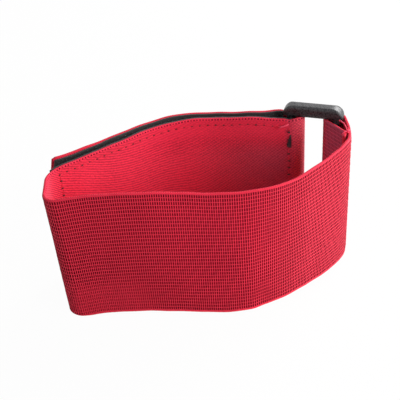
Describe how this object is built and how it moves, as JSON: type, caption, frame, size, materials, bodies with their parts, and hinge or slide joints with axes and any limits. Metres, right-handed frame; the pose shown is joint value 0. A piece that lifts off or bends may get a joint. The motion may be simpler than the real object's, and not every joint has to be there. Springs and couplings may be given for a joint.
{
  "type": "elastic wrist strap",
  "caption": "Wide woven elastic strap closed into a loop by a rectangular plastic buckle and a hook-and-loop tail, worn round the wrist to carry a pin cushion.",
  "frame": {"origin": "centre of the bounding box, at the level of the buckle's lower end, on which the strap stands", "axes": "+X along the closed loop's length towards the anchor bar, +Y towards the closure side, +Z along the loop's axis"},
  "size_m": [0.1056, 0.054, 0.0586],
  "materials": {
    "elastic": "woven matte",
    "buckle_plastic": "satin",
    "loop_pile": "brushed pile",
    "hook_nylon": "matte",
    "thread_dark": "matte",
    "thread_red": "matte"
  },
  "bodies": {
    "band": {"elastic_band": "elastic", "loop_tape": "loop_pile", "loop_tape_seam": "thread_dark", "anchor_seam": "thread_red", "thread_ends": "thread_red"},
    "tail": {"tail_flap": "elastic", "hook_tape": "hook_nylon", "hook_tape_seam": "thread_red"},
    "buckle": {"buckle": "buckle_plastic"}
  },
  "joints": [
    {"name": "tail_peel", "type": "hinge", "parent": "band", "child": "tail", "pos_m": [0.03288, 0.02461, 0.0293], "axis": [0, 0, -1], "range_deg": [0, 160]},
    {"name": "buckle_swivel", "type": "hinge", "parent": "band", "child": "buckle", "pos_m": [0.0486, 0.0141, 0.0293], "axis": [0, 0, -1], "range_deg": [0, 6]}
  ]
}
